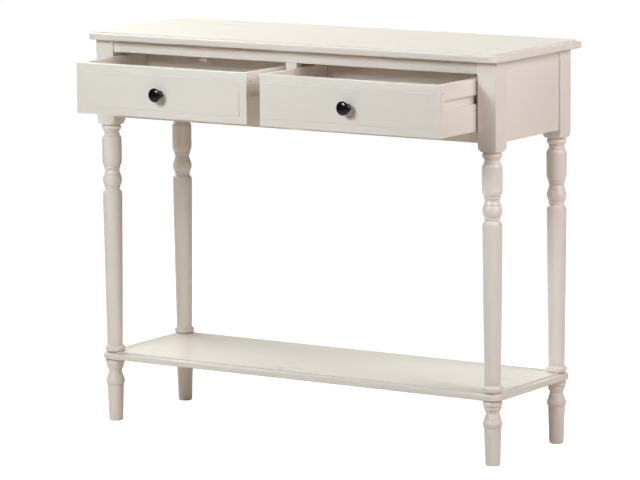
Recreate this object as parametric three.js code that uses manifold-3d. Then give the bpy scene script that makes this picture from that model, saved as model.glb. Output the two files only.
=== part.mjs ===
// Console table with two drawers, four turned legs and a low shelf.
// Millimetres, +Z up. The front faces -Y and the table stands on Z = 0.
// Both drawers rest part way open and slide along Y.
import * as THREE from "three";
import { mergeVertices } from "three/addons/utils/BufferGeometryUtils.js";
import Module from "manifold-3d";

const wasm = await Module();
wasm.setup();

// ---- Driving dimensions ----

const GAP = 0.3; // left between pieces that touch
const ROUND_SIDES = 16; // facets round each turned piece
const SCREW_SIDES = 12;

const HEIGHT = 800;
const LEG_SPACING_X = 893;
const LEG_SPACING_Y = 249;
const POST = 41; // square top of each leg

// Top and shelf: boards with a rounded edge and a slightly raised field.
// The top's back edge is cut square; the shelf is moulded all round.
const TOP = { width: 958, depth: 330, thickness: 16 };
const SHELF = { width: 940, depth: 294, thickness: 15 };
const FIELD_RISE = 3;
const FIELD_INSET = 12;
const EDGE_ROUND = 4;
const CORNER_RADIUS = 22;
const SHELF_BOTTOM = 128.5;

// Case under the top.
const CASE_BOTTOM = 627;
const BLOCK_BOTTOM = 609.5; // square posts run a little below the rails
const SHOULDER_RISE = 14; // height of the turned shoulder at a post's corners
const REVEAL = 4; // rails and panels stand this far behind the post faces
const RAIL_THICKNESS = 18;
const TOP_RAIL_HEIGHT = 25;
const BOTTOM_RAIL_HEIGHT = 22;
const STILE_WIDTH = 26;
const SIDE_THICKNESS = 15;
const BACK_THICKNESS = 12;
const DIVIDER_BOTTOM = 640;
const CLEAT = 18;

// Drawers.
const OPEN = { left: 136, right: 140 }; // how far each drawer is pulled out at rest
const DRAWER_WIDTH = 406.5;
const DRAWER_HEIGHT = 101;
const DRAWER_LENGTH = 240;
const DRAWER_LIFT = 0.8; // clearance over the bottom rail
const FRONT_THICKNESS = 18;
const FRONT_LIP = 6; // face left in front of the side boards
const BORDER = 22; // sloping border round the raised field of a drawer front
const BORDER_SINK = 1.2;
const SIDE_BOARD = 12;
const PANEL_THICKNESS = 4;
const PANEL_LIFT = 8;
const PANEL_TONGUE = 4;

// Runners: plastic strips on the case that fit grooves in the drawer sides.
const RUNNER = { width: 7, height: 16 };
const GROOVE = { depth: 6, height: 17, fromTop: 39.5, frontStop: 20 };

const STOP = { width: 17, height: 28, thickness: 14, hang: 10 };

const KNOB = { capRadius: 14, baseRadius: 7.4, length: 22.8, drop: 2 };

const STUD = { radius: 4, length: 70 };
const SCREW = { shank: 2, head: 4, headHeight: 2.4, clearance: 0.4 };

// ---- Levels and planes worked out from them ----

const legX = LEG_SPACING_X / 2;
const legY = LEG_SPACING_Y / 2;
const halfPost = POST / 2;
const topUnderside = HEIGHT - TOP.thickness;
const caseTop = topUnderside - GAP;
const shelfTop = SHELF_BOTTOM + SHELF.thickness;
const postInner = legX - halfPost;
const postInnerY = legY - halfPost;
const railFront = -(legY + halfPost - REVEAL);
const railBack = railFront + RAIL_THICKNESS;
const openingTop = topUnderside - TOP_RAIL_HEIGHT;
const openingBottom = CASE_BOTTOM + BOTTOM_RAIL_HEIGHT;
const backInner = legY + halfPost - REVEAL - BACK_THICKNESS;
const sideOuter = legX + halfPost - REVEAL;
const sideInner = sideOuter - SIDE_THICKNESS;
const halfStile = STILE_WIDTH / 2;
const drawerCentre = (halfStile + postInner) / 2;
const drawerBottom = openingBottom + DRAWER_LIFT;
const drawerTop = drawerBottom + DRAWER_HEIGHT;
const grooveCentre = drawerTop - GROOVE.fromTop;
const faceMiddle = drawerBottom + DRAWER_HEIGHT / 2;
const knobZ = faceMiddle - KNOB.drop;
const stopScrewZ = openingTop + STOP.height / 3;

// The origin is the middle of everything that the open table covers on the floor.
const frontmost = railFront - Math.max(OPEN.left, OPEN.right) - GAP - KNOB.length;
const rearmost = TOP.depth / 2;
const originShift = -(frontmost + rearmost) / 2;

// ---- Finishes ----

const painted = new THREE.MeshStandardMaterial({ color: 0xe9e2d6, roughness: 0.5, metalness: 0 });
const panelBoard = new THREE.MeshStandardMaterial({ color: 0xd8c7a8, roughness: 0.7, metalness: 0 });
const rawWood = new THREE.MeshStandardMaterial({ color: 0xd2b88c, roughness: 0.65, metalness: 0 });
const knobBlack = new THREE.MeshStandardMaterial({ color: 0x0b0a09, roughness: 0.18, metalness: 0 });
const runnerBlack = new THREE.MeshStandardMaterial({ color: 0x1c1a18, roughness: 0.55, metalness: 0 });
const zinc = new THREE.MeshStandardMaterial({ color: 0xb6b8ba, roughness: 0.35, metalness: 1 });

// ---- Solid helpers ----

function toSolid(geometry) {
  const bare = geometry.index ? geometry.clone() : mergeVertices(geometry.clone());
  bare.deleteAttribute("normal");
  bare.deleteAttribute("uv");
  const merged = mergeVertices(bare, 1e-3);
  const vertProperties = new Float32Array(merged.attributes.position.array);
  const triVerts = new Uint32Array(merged.index.array);
  return new wasm.Manifold(new wasm.Mesh({ numProp: 3, vertProperties, triVerts }));
}

function toGeometry(solid) {
  const mesh = solid.getMesh();
  const geometry = new THREE.BufferGeometry();
  geometry.setAttribute("position", new THREE.BufferAttribute(mesh.vertProperties, 3));
  geometry.setIndex(new THREE.BufferAttribute(mesh.triVerts, 1));
  geometry.computeVertexNormals();
  return geometry;
}

function cut(base, ...tools) {
  let solid = toSolid(base);
  for (const tool of tools) {
    solid = solid.subtract(toSolid(tool));
  }
  return toGeometry(solid);
}

function join(base, ...others) {
  let solid = toSolid(base);
  for (const other of others) {
    solid = solid.add(toSolid(other));
  }
  return toGeometry(solid);
}

function block(x0, x1, y0, y1, z0, z1) {
  const geometry = new THREE.BoxGeometry(x1 - x0, y1 - y0, z1 - z0);
  return geometry.translate((x0 + x1) / 2, (y0 + y1) / 2, (z0 + z1) / 2);
}

// Turned piece round the Z axis from [radius, height] pairs, lowest first.
function turned(profile, sides = ROUND_SIDES) {
  const first = profile[0];
  const last = profile[profile.length - 1];
  const closed = [[0, first[1]], ...profile, [0, last[1]]];
  const points = closed.map(([radius, z]) => new THREE.Vector2(radius, z));
  return new THREE.LatheGeometry(points, sides).rotateX(Math.PI / 2);
}

// Round bar along Z.
function bar(radius, z0, z1, sides = SCREW_SIDES) {
  return turned([[radius, z0], [radius, z1]], sides);
}

// ---- Boards ----

function roundedOutline(width, front, back, frontRadius, backRadius) {
  const x = width / 2;
  const shape = new THREE.Shape();
  shape.moveTo(-x + frontRadius, front);
  shape.lineTo(x - frontRadius, front);
  shape.absarc(x - frontRadius, front + frontRadius, frontRadius, -Math.PI / 2, 0, false);
  if (backRadius > 0) {
    shape.absarc(x - backRadius, back - backRadius, backRadius, 0, Math.PI / 2, false);
    shape.absarc(-x + backRadius, back - backRadius, backRadius, Math.PI / 2, Math.PI, false);
  } else {
    shape.lineTo(x, back);
    shape.lineTo(-x, back);
  }
  shape.absarc(-x + frontRadius, front + frontRadius, frontRadius, Math.PI, Math.PI * 1.5, false);
  return shape;
}

// Board with rounded edges and a raised field; a square back edge is cut flush.
function fieldedBoard(size, bottom, squareBack) {
  const front = -size.depth / 2;
  const back = size.depth / 2;
  const overrun = squareBack ? 2 * EDGE_ROUND : 0;
  const backRadius = squareBack ? 0 : CORNER_RADIUS;
  const edgeHeight = size.thickness - FIELD_RISE;
  const slabShape = roundedOutline(size.width, front, back + overrun, CORNER_RADIUS, backRadius);
  const slab = new THREE.ExtrudeGeometry(slabShape, {
    depth: edgeHeight - 2 * EDGE_ROUND,
    curveSegments: 4,
    bevelThickness: EDGE_ROUND,
    bevelSize: EDGE_ROUND,
    bevelOffset: -EDGE_ROUND,
    bevelSegments: 2,
  }).translate(0, 0, bottom + EDGE_ROUND);
  const fieldBack = squareBack ? back + overrun : back - FIELD_INSET;
  const fieldFront = front + FIELD_INSET;
  const field = block(
    -size.width / 2 + FIELD_INSET, size.width / 2 - FIELD_INSET,
    fieldFront, fieldBack,
    bottom + edgeHeight - 1, bottom + size.thickness,
  );
  const board = join(slab, field);
  if (!squareBack) {
    return board;
  }
  const trim = block(-size.width, size.width, back, back + size.depth, bottom - 10, bottom + 50);
  return cut(board, trim);
}

// ---- Legs and feet ----

// Turned part of a leg, from the shelf up to the square post.
const LEG_PROFILE = [
  [17.6, shelfTop + GAP], [19.9, shelfTop + 3], [20.2, shelfTop + 7], [18.6, shelfTop + 11.5],
  [15.9, 158], [15.6, 166], [16.7, 205], [18.0, 300], [19.1, 390], [19.5, 462], [18.7, 471.5],
  [15.6, 475.5], [14.7, 478.5], [16.6, 485], [18.6, 491], [19.2, 498], [18.4, 504.5],
  [16.1, 509], [14.5, 516], [15.7, 522], [17.0, 525.5], [19.0, 531], [19.8, 538], [19.8, 577],
  [18.4, 583.5], [15.8, 589], [14.7, 593], [16.4, 597], [18.9, 601], [19.5, 605],
  [18.9, BLOCK_BOTTOM - 0.6], [20.0, BLOCK_BOTTOM],
];

// Turned foot below the shelf.
const FOOT_PROFILE = [
  [12.6, 0], [14.5, 2.4], [15.2, 30], [15.9, 52], [16.6, 69], [17.2, 74], [18.9, 78],
  [19.1, 82], [18.6, 86], [16.6, 92.5], [14.3, 99], [13.9, 102.5], [15.6, 107], [17.0, 113],
  [19.1, 118], [19.1, 124], [18.0, SHELF_BOTTOM - GAP],
];

// The post is a square bar met by a turned shoulder that rounds its lower corners.
function legGeometry() {
  const corner = Math.hypot(halfPost, halfPost) + 1;
  const shoulder = [];
  for (const degrees of [20, 45, 70, 90]) {
    const angle = THREE.MathUtils.degToRad(degrees);
    shoulder.push([
      20 + (corner - 20) * Math.sin(angle),
      BLOCK_BOTTOM + SHOULDER_RISE * (1 - Math.cos(angle)),
    ]);
  }
  const envelope = turned([...LEG_PROFILE, ...shoulder, [corner, caseTop]]);
  const square = block(-halfPost, halfPost, -halfPost, halfPost, shelfTop - 5, caseTop);
  const solid = toSolid(envelope).intersect(toSolid(square));
  const hole = bar(STUD.radius + GAP, shelfTop - 5, studTop + 1);
  return toGeometry(solid.subtract(toSolid(hole)));
}

const studMiddle = SHELF_BOTTOM + SHELF.thickness / 2;
const studBottom = studMiddle - STUD.length / 2;
const studTop = studMiddle + STUD.length / 2;

function footGeometry() {
  const hole = bar(STUD.radius + GAP, studBottom - 1, SHELF_BOTTOM + 5);
  return cut(turned(FOOT_PROFILE), hole);
}

// ---- Drawer pieces, drawn round the drawer's own centre line, pushed fully in ----

const halfDrawer = DRAWER_WIDTH / 2;
const halfCore = halfDrawer - SIDE_BOARD;
const panelBottom = drawerBottom + PANEL_LIFT;
const panelTop = panelBottom + PANEL_THICKNESS;

function panelSlot() {
  const reach = halfCore + PANEL_TONGUE + GAP;
  return block(
    -reach, reach,
    railFront + FRONT_THICKNESS - PANEL_TONGUE - GAP, railFront + DRAWER_LENGTH + 1,
    panelBottom - GAP, panelTop + GAP,
  );
}

// Four wedges sink the border so that the field in the middle stands proud.
function borderCutters() {
  const slopes = [
    { across: DRAWER_WIDTH, out: DRAWER_HEIGHT / 2, turn: 0 },
    { across: DRAWER_WIDTH, out: DRAWER_HEIGHT / 2, turn: Math.PI },
    { across: DRAWER_HEIGHT, out: DRAWER_WIDTH / 2, turn: Math.PI / 2 },
    { across: DRAWER_HEIGHT, out: DRAWER_WIDTH / 2, turn: -Math.PI / 2 },
  ];
  return slopes.map(({ across, out, turn }) => {
    const wedge = new THREE.Shape([
      new THREE.Vector2(-1, out - BORDER),
      new THREE.Vector2(BORDER_SINK * 0.6, out - BORDER),
      new THREE.Vector2(BORDER_SINK, out + 1),
      new THREE.Vector2(-1, out + 1),
    ]);
    return new THREE.ExtrudeGeometry(wedge, { depth: across + 2, bevelEnabled: false })
      .translate(0, 0, -across / 2 - 1)
      .rotateX(Math.PI / 2)
      .rotateZ(Math.PI / 2)
      .rotateY(turn)
      .translate(0, railFront, faceMiddle);
  });
}

function drawerFront() {
  const lip = block(
    -halfDrawer, halfDrawer,
    railFront, railFront + FRONT_LIP,
    drawerBottom, drawerTop,
  );
  const core = block(
    -halfCore + GAP, halfCore - GAP,
    railFront + FRONT_LIP - 1, railFront + FRONT_THICKNESS,
    drawerBottom, drawerTop,
  );
  const bolt = bar(SCREW.shank + SCREW.clearance, -FRONT_THICKNESS - 5, 5);
  bolt.rotateX(Math.PI / 2).translate(0, railFront, knobZ);
  return cut(join(lip, core), ...borderCutters(), panelSlot(), bolt);
}

function drawerSide(side) {
  const inner = side * halfCore;
  const outer = side * halfDrawer;
  const board = block(
    Math.min(inner, outer), Math.max(inner, outer),
    railFront + FRONT_LIP + GAP, railFront + DRAWER_LENGTH,
    drawerBottom, drawerTop,
  );
  const floor = side * (halfDrawer - GROOVE.depth);
  const beyond = side * (halfDrawer + 1);
  const groove = block(
    Math.min(floor, beyond), Math.max(floor, beyond),
    railFront + GROOVE.frontStop, railFront + DRAWER_LENGTH + 1,
    grooveCentre - GROOVE.height / 2, grooveCentre + GROOVE.height / 2,
  );
  return cut(board, groove, panelSlot());
}

function drawerBack() {
  const rear = railFront + DRAWER_LENGTH;
  return block(
    -halfCore + GAP, halfCore - GAP,
    rear - SIDE_BOARD, rear,
    panelTop + GAP, drawerTop,
  );
}

function drawerPanel() {
  const reach = halfCore + PANEL_TONGUE;
  return block(
    -reach, reach,
    railFront + FRONT_THICKNESS - PANEL_TONGUE, railFront + DRAWER_LENGTH,
    panelBottom, panelTop,
  );
}

// Mushroom knob, turned round Z with its base at 0, then laid along -Y.
function knob() {
  const { capRadius, baseRadius, length } = KNOB;
  const body = turned([
    [baseRadius, 0], [baseRadius - 0.3, 1.8], [6.1, 5], [6, 8], [8, 11.6],
    [capRadius - 1.6, 14.6], [capRadius, 17.6], [capRadius - 1.6, 19.9], [9.2, 21.6],
    [5, 22.5], [0.8, length],
  ], ROUND_SIDES);
  const thread = bar(SCREW.shank + GAP, -1, 13);
  return cut(body, thread).rotateX(Math.PI / 2).translate(0, railFront - GAP, knobZ);
}

function knobScrew() {
  const inside = FRONT_THICKNESS + GAP;
  const screw = turned([
    [SCREW.head, -inside - SCREW.headHeight], [SCREW.head, -inside],
    [SCREW.shank, -inside], [SCREW.shank, 12],
  ], SCREW_SIDES);
  return screw.rotateX(Math.PI / 2).translate(0, railFront, knobZ);
}

// ---- Assembly ----

const table = new THREE.Group();
table.position.y = originShift;

function piece(parent, name, geometry, material) {
  const mesh = new THREE.Mesh(geometry, material);
  mesh.name = name;
  parent.add(mesh);
  return mesh;
}

const CORNERS = [
  { name: "front_left", x: -legX, y: -legY },
  { name: "front_right", x: legX, y: -legY },
  { name: "back_left", x: -legX, y: legY },
  { name: "back_right", x: legX, y: legY },
];

// Top, with blind holes for the four screws that come up through the cleats.
const cleatX = sideInner - GAP - CLEAT / 2;
const screwY = 70;
const topScrews = CORNERS.map(({ name, x, y }) => ({
  name,
  x: Math.sign(x) * cleatX,
  y: Math.sign(y) * screwY,
}));
const screwTip = HEIGHT - 5;
const cleatBottom = caseTop - CLEAT;
const topHoles = topScrews.map(({ x, y }) => (
  bar(SCREW.shank + SCREW.clearance, topUnderside - 5, screwTip + 1).translate(x, y, 0)
));
const topBoard = fieldedBoard(TOP, topUnderside, true);
piece(table, "table_top", cut(topBoard, ...topHoles), painted);

// Shelf, drilled through for the studs that join legs and feet.
const shelfHoles = CORNERS.map(({ x, y }) => (
  bar(STUD.radius + GAP, SHELF_BOTTOM - 5, shelfTop + 5).translate(x, y, 0)
));
piece(table, "lower_shelf", cut(fieldedBoard(SHELF, SHELF_BOTTOM, false), ...shelfHoles), painted);

const leg = legGeometry();
const foot = footGeometry();
const stud = bar(STUD.radius, studBottom, studTop);
for (const { name, x, y } of CORNERS) {
  piece(table, `leg_${name}`, leg, painted).position.set(x, y, 0);
  piece(table, `foot_${name}`, foot, painted).position.set(x, y, 0);
  piece(table, `shelf_stud_${name}`, stud, zinc).position.set(x, y, 0);
}

// Front frame round the two openings.
const railReach = postInner - GAP;
piece(table, "front_top_rail", cut(
  block(-railReach, railReach, railFront, railBack, openingTop, caseTop),
  ...[-1, 1].map((side) => stopScrewHole(side)),
), painted);
piece(table, "front_bottom_rail",
  block(-railReach, railReach, railFront, railBack, CASE_BOTTOM, openingBottom), painted);
piece(table, "front_stile",
  block(-halfStile, halfStile, railFront, railBack, openingBottom + GAP, openingTop - GAP), painted);

// Panels between the posts, and the board that parts the two drawer bays.
const panelReachY = postInnerY - GAP;
for (const [name, side] of [["left", -1], ["right", 1]]) {
  const x0 = Math.min(side * sideInner, side * sideOuter);
  piece(table, `side_panel_${name}`,
    block(x0, x0 + SIDE_THICKNESS, -panelReachY, panelReachY, CASE_BOTTOM, caseTop), painted);
}
piece(table, "back_panel", block(
  -railReach, railReach, backInner, backInner + BACK_THICKNESS, CASE_BOTTOM, caseTop,
), painted);
piece(table, "centre_divider", block(
  -halfStile, halfStile, railBack + GAP, backInner - GAP, DIVIDER_BOTTOM, caseTop,
), rawWood);

// Cleats that the top is screwed down through.
for (const [name, side] of [["left", -1], ["right", 1]]) {
  const x = side * cleatX;
  const holes = [-screwY, screwY].map((y) => (
    bar(SCREW.shank + SCREW.clearance, cleatBottom - 5, caseTop + 5).translate(x, y, 0)
  ));
  const strip = block(
    x - CLEAT / 2, x + CLEAT / 2, -panelReachY, panelReachY, cleatBottom, caseTop,
  );
  piece(table, `top_cleat_${name}`, cut(strip, ...holes), rawWood);
}
const topScrew = turned([
  [SCREW.head, cleatBottom - GAP - SCREW.headHeight], [SCREW.head, cleatBottom - GAP],
  [SCREW.shank, cleatBottom - GAP], [SCREW.shank, screwTip],
], SCREW_SIDES);
for (const { name, x, y } of topScrews) {
  piece(table, `top_screw_${name}`, topScrew, zinc).position.set(x, y, 0);
}

// Drawer stops: blocks behind the top rail, each on one screw. The left one is turned down, where
// it catches the drawer's back, and the right one is turned sideways, out of the drawer's way.
function stopScrewHole(side) {
  const hole = bar(SCREW.shank + SCREW.clearance, -STOP.thickness - 5, RAIL_THICKNESS - 4);
  return hole.rotateX(Math.PI / 2).translate(side * drawerCentre, railBack, stopScrewZ);
}

const stopReach = stopScrewZ - openingTop + STOP.hang; // from the screw to the block's far end
for (const [name, side] of [["left", -1], ["right", 1]]) {
  const x = side * drawerCentre;
  const halfWidth = STOP.width / 2;
  const far = STOP.height - stopReach;
  const [x0, x1] = side < 0 ? [x - halfWidth, x + halfWidth] : [x - stopReach, x + far];
  const [z0, z1] = side < 0
    ? [stopScrewZ - stopReach, stopScrewZ + far]
    : [stopScrewZ - halfWidth, stopScrewZ + halfWidth];
  const body = block(x0, x1, railBack + GAP, railBack + GAP + STOP.thickness, z0, z1);
  piece(table, `drawer_stop_${name}`, cut(body, stopScrewHole(side)), painted);
  const screw = turned([
    [SCREW.head, -STOP.thickness - 2 * GAP - SCREW.headHeight],
    [SCREW.head, -STOP.thickness - 2 * GAP],
    [SCREW.shank, -STOP.thickness - 2 * GAP], [SCREW.shank, RAIL_THICKNESS - 5],
  ], SCREW_SIDES);
  screw.rotateX(Math.PI / 2).translate(x, railBack, stopScrewZ);
  piece(table, `stop_screw_${name}`, screw, zinc);
}

// Runners: one on each post line and one on each face of the divider.
const runnerTop = grooveCentre + GROOVE.height / 2 - GAP;
const runnerFront = railFront + GROOVE.frontStop + 1;
const RUNNERS = [
  { name: "left_outer", x0: -postInner + GAP },
  { name: "left_inner", x0: -halfStile - GAP - RUNNER.width },
  { name: "right_inner", x0: halfStile + GAP },
  { name: "right_outer", x0: postInner - GAP - RUNNER.width },
];
for (const { name, x0 } of RUNNERS) {
  piece(table, `drawer_runner_${name}`, block(
    x0, x0 + RUNNER.width, runnerFront, backInner - GAP, runnerTop - RUNNER.height, runnerTop,
  ), runnerBlack);
}

// The two drawers are alike.
for (const [name, side] of [["left", -1], ["right", 1]]) {
  const drawer = new THREE.Group();
  drawer.position.set(side * drawerCentre, -OPEN[name], 0);
  table.add(drawer);
  piece(drawer, `drawer_${name}_front`, drawerFront(), painted);
  piece(drawer, `drawer_${name}_side_left`, drawerSide(-1), painted);
  piece(drawer, `drawer_${name}_side_right`, drawerSide(1), painted);
  piece(drawer, `drawer_${name}_back`, drawerBack(), painted);
  piece(drawer, `drawer_${name}_bottom`, drawerPanel(), panelBoard);
  piece(drawer, `drawer_${name}_knob`, knob(), knobBlack);
  piece(drawer, `drawer_${name}_knob_screw`, knobScrew(), zinc);
}

const group = new THREE.Group();
group.add(table);
group.updateMatrixWorld(true);

export default group;
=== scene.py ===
"""Console table with two drawers: fine meshes, paint and a studio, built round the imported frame."""

import math

import bmesh
import bpy
from mathutils import Matrix, Vector


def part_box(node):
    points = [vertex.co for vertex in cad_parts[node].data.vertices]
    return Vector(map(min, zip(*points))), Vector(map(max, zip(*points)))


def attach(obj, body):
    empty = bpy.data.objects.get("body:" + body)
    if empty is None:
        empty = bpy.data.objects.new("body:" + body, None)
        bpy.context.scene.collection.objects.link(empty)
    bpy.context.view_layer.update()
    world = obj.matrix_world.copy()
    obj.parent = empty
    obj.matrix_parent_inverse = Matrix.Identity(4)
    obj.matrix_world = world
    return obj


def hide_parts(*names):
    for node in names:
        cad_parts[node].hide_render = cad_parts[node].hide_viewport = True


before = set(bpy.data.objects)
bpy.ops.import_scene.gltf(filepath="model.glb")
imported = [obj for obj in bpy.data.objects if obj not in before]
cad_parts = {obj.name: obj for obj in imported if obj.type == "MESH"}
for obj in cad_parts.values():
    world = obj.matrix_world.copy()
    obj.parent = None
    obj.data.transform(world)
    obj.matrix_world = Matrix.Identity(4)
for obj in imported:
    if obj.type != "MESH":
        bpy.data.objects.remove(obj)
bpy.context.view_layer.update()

MM = 0.001
FRAME_BODY = "table_frame"
SIDES = ("left", "right")
CORNERS = ("front_left", "front_right", "back_left", "back_right")


# ---- Camera, light and floor ----

def toward_viewer(azimuth, elevation):
    """Direction from the table to someone who stands at these angles; azimuth 0 is the front."""
    return Vector((
        math.sin(azimuth) * math.cos(elevation),
        -math.cos(azimuth) * math.cos(elevation),
        math.sin(elevation),
    ))


def make_camera():
    azimuth = math.radians(32.839)
    elevation = math.radians(8.72)
    roll = math.radians(-0.483)
    distance = 8.17
    aim = Vector((-0.0267, 0.06955, 0.3870))
    back = toward_viewer(azimuth, elevation)
    right = Vector((math.cos(azimuth), math.sin(azimuth), 0))
    up = back.cross(right)
    rolled_right = right * math.cos(roll) + up * math.sin(roll)
    rolled_up = up * math.cos(roll) - right * math.sin(roll)
    data = bpy.data.cameras.new("camera")
    data.sensor_width = 36
    data.lens = 229.3
    data.clip_end = 200
    camera = bpy.data.objects.new("camera", data)
    bpy.context.scene.collection.objects.link(camera)
    placed = Matrix((rolled_right, rolled_up, back)).transposed().to_4x4()
    placed.translation = aim + back * distance
    camera.matrix_world = placed
    bpy.context.scene.camera = camera


def softbox(name, azimuth, elevation, distance, width, height, power, colour):
    """Area light aimed at the table's upper part, placed by the way it shines from, in degrees."""
    target = Vector((0, 0, 0.62))
    back = toward_viewer(math.radians(azimuth), math.radians(elevation))
    data = bpy.data.lights.new(name, "AREA")
    data.shape = "RECTANGLE"
    data.size = width
    data.size_y = height
    data.energy = power
    data.color = colour
    light = bpy.data.objects.new(name, data)
    light.location = target + back * distance
    light.rotation_euler = back.to_track_quat("Z", "Y").to_euler()
    light.visible_camera = False
    bpy.context.scene.collection.objects.link(light)


def make_world():
    """A dark room with a soft glow from its right side and its front."""
    world = bpy.data.worlds.new("studio")
    world.use_nodes = True
    tree = world.node_tree
    direction = tree.nodes.new("ShaderNodeTexCoord").outputs["Generated"]
    split = tree.nodes.new("ShaderNodeSeparateXYZ")
    tree.links.new(direction, split.inputs["Vector"])
    total = tree.nodes.new("ShaderNodeVectorMath")
    glows = (("X", 1, (0.02, 0.01, 0.01)), ("Y", -1, (0.18, 0.10, 0.10)))
    for index, (axis, far_end, colour) in enumerate(glows):
        toward = tree.nodes.new("ShaderNodeMapRange")
        toward.inputs["From Max"].default_value = far_end
        tree.links.new(split.outputs[axis], toward.inputs["Value"])
        share = tree.nodes.new("ShaderNodeMath")
        share.operation = "POWER"
        share.inputs[1].default_value = 2
        tree.links.new(toward.outputs["Result"], share.inputs[0])
        tint = tree.nodes.new("ShaderNodeVectorMath")
        tint.operation = "SCALE"
        tint.inputs[0].default_value = colour
        tree.links.new(share.outputs[0], tint.inputs["Scale"])
        tree.links.new(tint.outputs[0], total.inputs[index])
    tree.links.new(total.outputs[0], tree.nodes["Background"].inputs["Color"])
    bpy.context.scene.world = world


def make_studio():
    bpy.context.scene.view_settings.view_transform = "Standard"
    make_world()
    softbox("key", -10.5, 26.5, 2.4, 0.75, 0.75, 33.4, (0.87, 0.975, 1))
    softbox("left", -115, 38, 2.6, 1.5, 1.5, 43.5, (1, 0.975, 0.95))
    softbox("left_high", -90, 58, 2.6, 1.5, 1.5, 10.2, (1, 0.93, 0.85))
    softbox("right", 88, 27, 2.4, 1.1, 1.8, 32.8, (1, 0.965, 0.975))
    softbox("overhead", 180, 66, 2.6, 2.2, 1.2, 3.4, (1, 0.75, 0.65))
    softbox("back", 213, 14, 3.0, 3.0, 1.8, 16.0, (0.94, 1, 0.89))


def plain_surface(name, colour, glow=0.0):
    material = bpy.data.materials.new(name)
    material.use_nodes = True
    shader = material.node_tree.nodes["Principled BSDF"]
    shader.inputs["Base Color"].default_value = colour
    shader.inputs["Roughness"].default_value = 0.9
    shader.inputs["Specular IOR Level"].default_value = 0
    shader.inputs["Emission Color"].default_value = (1, 1, 1, 1)
    shader.inputs["Emission Strength"].default_value = glow
    return material


def revolved_sheet(name, profile, material):
    """Sheet swept round the vertical axis through the origin, from (radius, height) points."""
    sides = 64
    points = []
    faces = []
    for radius, z in profile:
        for k in range(sides):
            a = 2 * math.pi * k / sides
            points.append((radius * math.cos(a), radius * math.sin(a), z))
    for row in range(len(profile) - 1):
        first = row * sides
        for k in range(sides):
            j = (k + 1) % sides
            faces.append((first + k, first + j, first + sides + j, first + sides + k))
    mesh = bpy.data.meshes.new(name)
    mesh.from_pydata(points, [], faces)
    mesh.materials.append(material)
    sheet = bpy.data.objects.new(name, mesh)
    bpy.context.scene.collection.objects.link(sheet)
    return sheet


def make_floor():
    """A pale floor that reflects light, and over it a white sweep that only fills the view."""
    reach = 40
    rise = 50
    pale = plain_surface("floor", (0.70, 0.655, 0.60, 1))
    floor = revolved_sheet("floor", [(0, 0), (3, 0), (reach, 0)], pale)
    floor.location.z = -0.0006
    floor.visible_camera = False
    profile = [(0, 0), (3, 0), (10, 0), (reach, 0)]
    for k in range(1, 19):
        swing = math.radians(5 * k)
        profile.append((reach * math.cos(swing) ** 0.6, rise * math.sin(swing)))
    sweep = revolved_sheet("sweep", profile, plain_surface("sweep", (0.3, 0.3, 0.3, 1), 1.0))
    sweep.location.z = -0.0003
    sweep.visible_diffuse = False
    sweep.visible_glossy = False
    sweep.visible_shadow = False


# ---- Materials ----

class Nodes:
    """A few calls that keep node trees short."""

    def __init__(self, name):
        self.material = bpy.data.materials.new(name)
        self.material.use_nodes = True
        self.tree = self.material.node_tree
        self.shader = self.tree.nodes["Principled BSDF"]
        self.coordinates = self.tree.nodes.new("ShaderNodeTexCoord").outputs["Object"]

    def new(self, kind, settings=None, **inputs):
        node = self.tree.nodes.new("ShaderNode" + kind)
        for key, value in (settings or {}).items():
            setattr(node, key, value)
        for key, value in inputs.items():
            self.feed(node, key.replace("_", " "), value)
        return node

    def feed(self, node, key, value):
        if isinstance(value, bpy.types.NodeSocket):
            self.tree.links.new(value, node.inputs[key])
        else:
            node.inputs[key].default_value = value

    def surface(self, **inputs):
        """Values or sockets for the shader, with a space for each underscore."""
        for key, value in inputs.items():
            self.feed(self.shader, key.replace("_", " "), value)

    def noise(self, scale, stretch=(1, 1, 1), detail=3.0, roughness=0.5):
        """Noise over the piece, in features of about 1/scale metres, stretched along the axes."""
        mapping = self.new("Mapping", Vector=self.coordinates, Scale=[1 / s for s in stretch])
        node = self.new(
            "TexNoise", Vector=mapping.outputs["Vector"], Scale=scale, Detail=detail, Roughness=roughness
        )
        return node.outputs["Fac"]

    def ramp(self, value, low, high):
        """Value spread so that low becomes 0 and high becomes 1."""
        node = self.new("MapRange", Value=value)
        node.inputs["From Min"].default_value = low
        node.inputs["From Max"].default_value = high
        return node.outputs["Result"]

    def mix(self, factor, first, second):
        """First colour where the factor is 0, second where it is 1."""
        node = self.new("Mix", {"data_type": "RGBA"})
        for index, value in ((0, factor), (6, first), (7, second)):
            self.feed(node, index, value)
        return node.outputs[2]

    def span(self, value, low, high):
        """Value from 0 to 1 turned into a number from low to high."""
        node = self.new("MapRange", Value=value)
        node.inputs["To Min"].default_value = low
        node.inputs["To Max"].default_value = high
        return node.outputs["Result"]

    def add(self, first, second, weight):
        """First value plus the second times its weight."""
        node = self.new("Math", {"operation": "MULTIPLY_ADD"})
        for index, value in ((0, second), (1, weight), (2, first)):
            self.feed(node, index, value)
        return node.outputs[0]

    def bump(self, height, distance, strength):
        """Relief over the surface, distance in metres."""
        node = self.new("Bump", Height=height, Strength=strength, Distance=distance)
        self.surface(Normal=node.outputs["Normal"])


def along(axis, length):
    """Stretch of a noise that runs along one axis."""
    return tuple(length if name == axis else 1 for name in "xyz")


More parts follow.
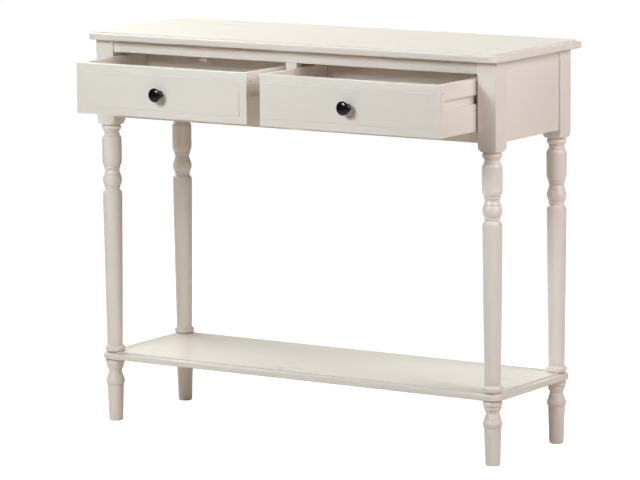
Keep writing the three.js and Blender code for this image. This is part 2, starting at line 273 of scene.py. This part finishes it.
def make_paint(name, axis, relief):
    """Satin paint through which the grain of the wood along one axis faintly shows."""
    n = Nodes(name)
    grain = n.noise(420, along(axis, 40), detail=4, roughness=0.6)
    pores = n.noise(1500, along(axis, 22), detail=2)
    cloud = n.noise(9, along(axis, 2.5), detail=2)
    peel = n.noise(650, detail=2)
    base = n.mix(n.ramp(cloud, 0.3, 0.7), (0.872, 0.812, 0.752, 1), (0.888, 0.826, 0.762, 1))
    streaked = n.mix(n.ramp(grain, 0.52, 0.8), base, (0.858, 0.796, 0.733, 1))
    n.surface(Base_Color=streaked, Roughness=n.span(n.add(cloud, grain, 0.6), 0.23, 0.31))
    height = n.add(n.add(grain, pores, 0.5), peel, 0.35)
    n.bump(height, 0.06 * MM, relief)
    return n.material


def make_bare_wood(name, light, dark, axis):
    """Unpainted wood with rings and fine fibre along one axis."""
    n = Nodes(name)
    rings = n.noise(38, along(axis, 9), detail=3, roughness=0.6)
    fibre = n.noise(700, along(axis, 45), detail=3)
    colour = n.mix(n.ramp(rings, 0.35, 0.7), light, dark)
    darkest = tuple(0.8 * c for c in dark[:3]) + (1,)
    fibrous = n.mix(n.ramp(fibre, 0.5, 0.8), colour, darkest)
    n.surface(Base_Color=fibrous, Roughness=n.span(fibre, 0.58, 0.75))
    n.bump(n.add(fibre, rings, 0.4), 0.15 * MM, 0.6)
    return n.material


def make_enamel():
    """Gloss black enamel with a very slight ripple."""
    n = Nodes("black_enamel")
    ripple = n.noise(140, detail=2)
    fleck = n.noise(2600, detail=1)
    colour = n.mix(n.ramp(fleck, 0.5, 0.8), (0.005, 0.0046, 0.0042, 1), (0.010, 0.009, 0.008, 1))
    n.surface(Base_Color=colour, Roughness=n.span(ripple, 0.11, 0.17))
    n.bump(ripple, 0.2 * MM, 0.25)
    return n.material


def make_plastic():
    """Matte black extruded plastic with draw lines along its length."""
    n = Nodes("runner_plastic")
    lines = n.noise(1800, along("y", 60), detail=2)
    grime = n.noise(60, detail=3)
    colour = n.mix(n.ramp(grime, 0.4, 0.75), (0.022, 0.020, 0.018, 1), (0.034, 0.031, 0.028, 1))
    n.surface(Base_Color=colour, Roughness=n.span(lines, 0.42, 0.6))
    n.bump(lines, 0.08 * MM, 0.5)
    return n.material


def make_zinc():
    """Zinc-plated steel, slightly mottled."""
    n = Nodes("zinc_plated_steel")
    mottle = n.noise(900, detail=3)
    colour = n.mix(n.ramp(mottle, 0.35, 0.7), (0.60, 0.60, 0.62, 1), (0.70, 0.70, 0.70, 1))
    n.surface(Base_Color=colour, Roughness=n.span(mottle, 0.26, 0.42), Metallic=1)
    n.bump(mottle, 0.03 * MM, 0.4)
    return n.material


def make_filler():
    """Dark filler over a sunk nail, seen through thin paint."""
    n = Nodes("nail_filler")
    speckle = n.noise(3000, detail=2)
    colour = n.mix(n.ramp(speckle, 0.35, 0.7), (0.33, 0.27, 0.22, 1), (0.5, 0.43, 0.36, 1))
    n.surface(Base_Color=colour, Roughness=n.span(speckle, 0.6, 0.8))
    return n.material


PAINT = {axis: make_paint("paint_grain_" + axis, axis, 0.15) for axis in "xyz"}
RUBBED_PAINT = make_paint("paint_rubbed_smooth", "x", 0.04)
RAW_WOOD = make_bare_wood("raw_pine", (0.70, 0.54, 0.35, 1), (0.58, 0.41, 0.24, 1), "y")
THIN_BOARD = make_bare_wood("drawer_board", (0.74, 0.66, 0.54, 1), (0.68, 0.59, 0.46, 1), "x")
ENAMEL = make_enamel()
FILLER = make_filler()
PLASTIC = make_plastic()
ZINC = make_zinc()


# ---- Mesh helpers ----

def finished(name, bm, material, body, replaced, smooth_below=32):
    """Turns a bmesh into a piece that rides on its body and stands for its CAD nodes."""
    bmesh.ops.recalc_face_normals(bm, faces=bm.faces)
    mesh = bpy.data.meshes.new(name)
    bm.to_mesh(mesh)
    bm.free()
    mesh.polygons.foreach_set("use_smooth", [True] * len(mesh.polygons))
    mesh.set_sharp_from_angle(angle=math.radians(smooth_below))
    mesh.materials.append(material)
    piece = bpy.data.objects.new(name, mesh)
    bpy.context.scene.collection.objects.link(piece)
    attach(piece, body)
    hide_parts(*replaced)
    return piece


def add_loft(bm, rings, closed=True):
    """Faces between successive rings of points, with the first and last ring filled in."""
    rows = [[bm.verts.new(point) for point in ring] for ring in rings]
    count = len(rows[0])
    for lower, upper in zip(rows, rows[1:]):
        for i in range(count if closed else count - 1):
            j = (i + 1) % count
            bm.faces.new((lower[i], lower[j], upper[j], upper[i]))
    bm.faces.new(reversed(rows[0]))
    bm.faces.new(rows[-1])
    return rows


def long_sharp_edges(bm):
    """Edges worth easing: longer than 3 mm, between faces that meet at more than 30 degrees."""
    shortest = 3 * MM
    limit = math.radians(30)
    return [
        e for e in bm.edges
        if len(e.link_faces) == 2 and e.calc_face_angle(0) > limit and e.calc_length() > shortest
    ]


def ease_edges(bm, edges, radius):
    bmesh.ops.bevel(
        bm, geom=edges, offset=radius, offset_type="OFFSET", segments=3,
        profile=0.5, affect="EDGES", clamp_overlap=True,
    )


def eased_board(node, material, body=FRAME_BODY, radius=1.0 * MM):
    """The board that a CAD node describes, with its long edges eased as by sandpaper."""
    flat_enough = math.radians(0.3)
    bm = bmesh.new()
    bm.from_mesh(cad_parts[node].data)
    bmesh.ops.remove_doubles(bm, verts=bm.verts, dist=0.01 * MM)
    bmesh.ops.dissolve_limit(
        bm, angle_limit=flat_enough, verts=bm.verts, edges=bm.edges, delimit={"NORMAL"},
    )
    ease_edges(bm, long_sharp_edges(bm), radius)
    return finished(node + "_board", bm, material, body, [node])


# ---- Turned pieces ----

STEPS = {"line": 1, "bow": 10, "bead": 14, "dome": 18}
LONG_BOW = 60  # a bow longer than this gets LONG_BOW_STEPS
LONG_BOW_STEPS = 26


def outline(start, stretches):
    """Points (z, radius) of a turned outline, in millimetres.

    A stretch is (kind, z, radius, swell). "line" is straight, "bow" swells outwards evenly by
    swell at its middle, and "bead" swells as a rounded half bead. A swell below 0 hollows it.
    "dome" is a quarter of an ellipse that starts along the axis and ends across it.
    """
    points = [start]
    for kind, z, radius, swell in stretches:
        z0, r0 = points[-1]
        steps = STEPS[kind]
        if kind == "bow" and abs(z - z0) > LONG_BOW:
            steps = LONG_BOW_STEPS
        for k in range(1, steps + 1):
            share = k / steps
            across = share
            lift = 4 * share * (1 - share)
            if kind == "dome":
                share = math.sin(k / steps * math.pi / 2)
                across = 1 - math.cos(k / steps * math.pi / 2)
            elif kind == "bead":
                share = (1 - math.cos(math.pi * k / steps)) / 2
                across = share
                lift = 2 * math.sqrt(max(0, share * (1 - share)))
            points.append((z0 + (z - z0) * share, r0 + (radius - r0) * across + swell * lift))
    return points


def turned_upright(centre):
    """Gives place(radius, angle, z) for a piece turned about the vertical through centre."""
    def place(radius, angle, z):
        return Vector((
            centre.x + radius * MM * math.cos(angle),
            centre.y + radius * MM * math.sin(angle),
            z * MM,
        ))
    return place


def lathe(bm, points, place, segments=72):
    """Turned solid: place(radius, angle, z) gives the position of each point."""
    turn = [2 * math.pi * k / segments for k in range(segments)]
    add_loft(bm, [[place(radius, a, z) for a in turn] for z, radius in points])


LEG_OUTLINE = outline((143.8, 17.2), [
    ("bead", 155.1, 16.9, 3.2), ("line", 155.6, 15.9, 0), ("bow", 157.4, 15.9, -0.3),
    ("bow", 462, 19.5, 0.35), ("bow", 470.6, 18.9, 0.3), ("bow", 475.2, 15.9, 0.7),
    ("bow", 478, 14.3, -0.3), ("line", 478.8, 14.2, 0), ("bead", 483.8, 15.2, 1.3),
    ("line", 484.8, 15.2, 0), ("line", 485, 16.6, 0), ("bow", 506.9, 16.8, 2.6),
    ("line", 507.1, 15.3, 0), ("line", 508.2, 16.4, 0), ("bow", 512.3, 15.2, 0.15),
    ("bow", 517.2, 14.3, -0.3), ("line", 518.2, 14.2, 0), ("bead", 524.2, 15.5, 1.5),
    ("line", 525.1, 15.5, 0), ("line", 525.3, 17, 0), ("bow", 538, 19.8, 0.9),
    ("line", 577, 19.8, 0), ("bow", 586.8, 16.8, 1.1), ("line", 587, 15.5, 0),
    ("line", 587.9, 15.3, 0), ("bead", 591.8, 14.9, 1), ("bow", 593.4, 14.3, -0.2),
    ("line", 594.1, 14.3, 0), ("bead", 597.7, 15.5, 1.3), ("line", 598.6, 15.5, 0),
    ("line", 598.8, 17.5, 0), ("bow", 607.7, 18.2, 1.5), ("line", 607.9, 16.2, 0),
    ("line", 610, 16.2, 0),
])

FOOT_OUTLINE = outline((0, 12.6), [
    ("bow", 3, 14.5, 0.5), ("bow", 69.8, 16.6, -0.05), ("line", 74, 16.9, 0),
    ("line", 74.9, 16.2, 0), ("line", 75.6, 16.3, 0), ("line", 75.9, 17.7, 0),
    ("bow", 89, 17.1, 1.6), ("line", 89.2, 16, 0), ("line", 90, 16, 0),
    ("line", 90.2, 16.8, 0), ("bow", 97, 14.9, -0.2), ("bow", 107, 14.9, -1.4),
    ("line", 107.9, 14.9, 0), ("bead", 114.7, 16, 1.4), ("line", 115.7, 15.9, 0),
    ("line", 115.9, 17.3, 0), ("bead", 127, 16.8, 2.1), ("line", 127.1, 15.6, 0),
    ("line", 128.2, 15.6, 0),
])

BLOCK_BOTTOM = 610  # where the square of a leg begins
SHOULDER_RISE = 14
SHOULDER_ROOT = 20  # radius of the turned shoulder where it leaves the last ring
POST_EDGE = 0.9  # rounding of a post's long edges


def post_angles():
    """Angles round a leg, closer together at the post's rounded edges."""
    wide = 6.1
    close = [45 + off for off in (-2.4, -1.4, -0.5, 0.5, 1.4, 2.4)]
    quarter = [k * wide for k in range(7)] + close + [90 - k * wide for k in range(6, 0, -1)]
    return [math.radians(90 * turn + a) for turn in range(4) for a in quarter]


def square_reach(angle, half):
    """Distance from the axis to a square with rounded edges, at that angle."""
    a = angle % (math.pi / 2)
    a = min(a, math.pi / 2 - a)
    flat = half / math.cos(a)
    to_round = (half - POST_EDGE) * math.sqrt(2)  # from the axis to the middle of the rounding
    ahead = to_round * math.cos(math.pi / 4 - a)
    aside = to_round * math.sin(math.pi / 4 - a)
    if aside >= POST_EDGE:
        return flat
    return min(flat, ahead + math.sqrt(POST_EDGE ** 2 - aside ** 2))


def make_leg(corner):
    """A turned leg that ends in a square post, with rounded shoulders between the two."""
    node = "leg_" + corner
    low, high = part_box(node)
    half = (high.x - low.x) / 2 / MM
    corner_radius = half * math.sqrt(2)
    angles = post_angles()
    reach = [square_reach(a, half) for a in angles]
    rows = [(z, [radius] * len(angles)) for z, radius in LEG_OUTLINE]
    steps = 18
    for k in range(steps + 1):
        swing = k / steps * math.pi / 2
        z = BLOCK_BOTTOM + SHOULDER_RISE * (1 - math.cos(swing))
        shoulder = SHOULDER_ROOT + (corner_radius - SHOULDER_ROOT) * math.sin(swing)
        rows.append((z, [min(shoulder, r) for r in reach]))
    rows.append((high.z / MM, reach))
    place = turned_upright((low + high) / 2)
    bm = bmesh.new()
    add_loft(bm, [[place(r, a, z) for a, r in zip(angles, radii)] for z, radii in rows])
    finished("turned_leg_" + corner, bm, PAINT["z"], FRAME_BODY, [node])


def make_foot(corner):
    node = "foot_" + corner
    low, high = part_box(node)
    bm = bmesh.new()
    lathe(bm, FOOT_OUTLINE, turned_upright((low + high) / 2))
    finished("turned_foot_" + corner, bm, PAINT["z"], FRAME_BODY, [node])


# ---- Top and shelf ----

CORNER_RADIUS = 22
SHARP_CORNER = 0.4  # corner radius of the raised field
FIELD_INSET = 12
FIELD_RISE = 3
LOWER_ROUND = 2.2
UPPER_ROUND = 2.4
FIELD_ROUND = 0.6


def edge_section(thickness):
    """(inset, height) round a board's edge, from the underside up to the raised field."""
    ledge = thickness - FIELD_RISE
    section = []
    for degrees in range(0, 91, 15):
        swing = math.radians(degrees)
        section.append((LOWER_ROUND * (1 - math.sin(swing)), LOWER_ROUND * (1 - math.cos(swing))))
    for degrees in range(0, 91, 15):
        swing = math.radians(degrees)
        inset = UPPER_ROUND * (1 - math.cos(swing))
        section.append((inset, ledge - UPPER_ROUND * (1 - math.sin(swing))))
    # a small cove at the foot of the step
    section.append((FIELD_INSET - 0.5, ledge))
    section.append((FIELD_INSET - 0.1, ledge + 0.3))
    for degrees in range(0, 91, 30):
        swing = math.radians(degrees)
        inset = FIELD_INSET + FIELD_ROUND * (1 - math.cos(swing))
        section.append((inset, thickness - FIELD_ROUND * (1 - math.sin(swing))))
    return section


def rounded_ring(low, high, inset, z, square_back):
    """A board's outline at that inset; with a square back, an open path from back to back."""
    on_edge = inset <= max(LOWER_ROUND, UPPER_ROUND)
    radius = CORNER_RADIUS - inset if on_edge else SHARP_CORNER
    steps = 12
    x0 = low.x / MM + inset
    x1 = high.x / MM - inset
    y0 = low.y / MM + inset
    y1 = high.y / MM - (0 if square_back else inset)
    ring = []

    def arc(cx, cy, first):
        for k in range(steps + 1):
            a = math.radians(first + 90 * k / steps)
            ring.append((cx + radius * math.cos(a), cy + radius * math.sin(a)))

    if square_back:
        ring.append((x0, y1))
    arc(x0 + radius, y0 + radius, 180)
    arc(x1 - radius, y0 + radius, 270)
    if square_back:
        ring.append((x1, y1))
    else:
        arc(x1 - radius, y1 - radius, 0)
        arc(x0 + radius, y1 - radius, 90)
    return [Vector((x * MM, y * MM, z)) for x, y in ring]


def make_fielded_board(node, name, square_back):
    """A board with a moulded edge round a raised field; the table top's back edge is cut square."""
    low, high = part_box(node)
    thickness = (high.z - low.z) / MM
    rings = [
        rounded_ring(low, high, inset, low.z + height * MM, square_back)
        for inset, height in edge_section(thickness)
    ]
    bm = bmesh.new()
    rows = add_loft(bm, rings, closed=not square_back)
    if square_back:
        bm.faces.new([row[0] for row in rows] + [row[-1] for row in reversed(rows)])
    finished(name, bm, RUBBED_PAINT, FRAME_BODY, [node])


# ---- Drawers ----

BORDER = 22  # sloping border round the raised field of a drawer front
BORDER_SINK = 3.2  # how far its outer edge lies behind the field
STEP_SINK = 1.6  # how far its inner edge does
STEP_WIDTH = 0.9
FRONT_EASING = 1.1
LIP = 6  # thickness of a front where it covers the ends of the side boards
GLUE_GAP = 0.3

NAIL_BELOW_TOP = 17
NAIL_FROM_FRONT = 10
NAIL_HEAD = [(-0.4, 1.3), (0.02, 1.3), (0.12, 1.0), (0.16, 0.5)]  # (height, radius)


def make_drawer_front(side):
    """A front whose narrower back part fits between the drawer's side boards."""
    body = "drawer_" + side
    node = body + "_front"
    low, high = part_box(node)
    board_low, board_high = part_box(body + "_side_right")
    core_inset = board_high.x - board_low.x + GLUE_GAP * MM
    lip_y = low.y + LIP * MM
    face_y = low.y + BORDER_SINK * MM
    plan = [
        (low.x, face_y), (high.x, face_y), (high.x, lip_y), (high.x - core_inset, lip_y),
        (high.x - core_inset, high.y), (low.x + core_inset, high.y),
        (low.x + core_inset, lip_y), (low.x, lip_y),
    ]
    bm = bmesh.new()
    add_loft(bm, [[Vector((x, y, z)) for x, y in plan] for z in (low.z, high.z)])
    bmesh.ops.recalc_face_normals(bm, faces=bm.faces)
    face = min(bm.faces, key=lambda f: f.calc_center_median().y)
    outer = long_sharp_edges(bm)
    bmesh.ops.inset_region(bm, faces=[face], thickness=BORDER * MM)
    bmesh.ops.translate(bm, verts=face.verts, vec=(0, (STEP_SINK - BORDER_SINK) * MM, 0))
    bmesh.ops.inset_region(bm, faces=[face], thickness=STEP_WIDTH * MM)
    bmesh.ops.translate(bm, verts=face.verts, vec=(0, -STEP_SINK * MM, 0))
    ease_edges(bm, [e for e in outer if e.is_valid], FRONT_EASING * MM)
    finished("panelled_front_" + side, bm, PAINT["x"], body, [node])


KNOB_OUTLINE = outline((0, 7.8), [
    ("bow", 2.2, 7.7, 0.2), ("bow", 8.4, 5.5, -0.5), ("bow", 13.8, 9.2, -1.2),
    ("bow", 18, 14, 0.9), ("dome", 22.78, 0.3, 0),
])


def make_knob(side):
    """A turned mushroom knob that stands out from a drawer front."""
    body = "drawer_" + side
    node = body + "_knob"
    low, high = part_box(node)
    centre = (low + high) / 2

    def place(radius, angle, height):
        return Vector((
            centre.x + radius * MM * math.cos(angle),
            high.y - height * MM,
            centre.z + radius * MM * math.sin(angle),
        ))

    bm = bmesh.new()
    lathe(bm, KNOB_OUTLINE, place, 96)
    finished("mushroom_knob_" + side, bm, ENAMEL, body, [node], 60)


def make_nail_marks(side):
    """A small filled nail head in the outer face of each drawer side, near the front."""
    body = "drawer_" + side
    for hand, outward in (("left", -1), ("right", 1)):
        low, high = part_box(f"{body}_side_{hand}")
        face = high.x if outward > 0 else low.x
        y = low.y + NAIL_FROM_FRONT * MM
        z = high.z - NAIL_BELOW_TOP * MM

        def place(radius, angle, height):
            return Vector((
                face + outward * height * MM,
                y + radius * MM * math.cos(angle),
                z + radius * MM * math.sin(angle),
            ))

        bm = bmesh.new()
        lathe(bm, NAIL_HEAD, place, 20)
        finished(f"nail_filler_{side}_{hand}", bm, FILLER, body, [], 50)


def make_drawer(side):
    body = "drawer_" + side
    make_drawer_front(side)
    for hand in SIDES:
        eased_board(f"{body}_side_{hand}", PAINT["y"], body, 0.9 * MM)
    eased_board(body + "_back", PAINT["x"], body, 0.4 * MM)
    eased_board(body + "_bottom", THIN_BOARD, body, 0.3 * MM)
    make_knob(side)
    make_nail_marks(side)


# ---- Case ----

def make_case():
    for node in ("front_top_rail", "front_bottom_rail", "back_panel"):
        eased_board(node, PAINT["x"])
    eased_board("front_stile", PAINT["z"])
    eased_board("centre_divider", RAW_WOOD)
    for side in SIDES:
        eased_board("side_panel_" + side, PAINT["z"], radius=1.4 * MM)
        eased_board("top_cleat_" + side, RAW_WOOD)
        eased_board("drawer_stop_" + side, PAINT["z"], radius=0.6 * MM)
        for place in ("outer", "inner"):
            eased_board(f"drawer_runner_{side}_{place}", PLASTIC, radius=0.8 * MM)


def dress_cad_steel():
    """Studs and screws keep their CAD shape and get zinc plating."""
    for name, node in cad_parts.items():
        if "screw" in name or "stud" in name:
            node.data.materials.clear()
            node.data.materials.append(ZINC)


# ---- Everything ----

make_camera()
make_studio()
make_floor()
make_fielded_board("table_top", "moulded_top", square_back=True)
make_fielded_board("lower_shelf", "moulded_shelf", square_back=False)
for corner in CORNERS:
    make_leg(corner)
    make_foot(corner)
make_case()
for side in SIDES:
    make_drawer(side)
dress_cad_steel()

bpy.context.view_layer.update()
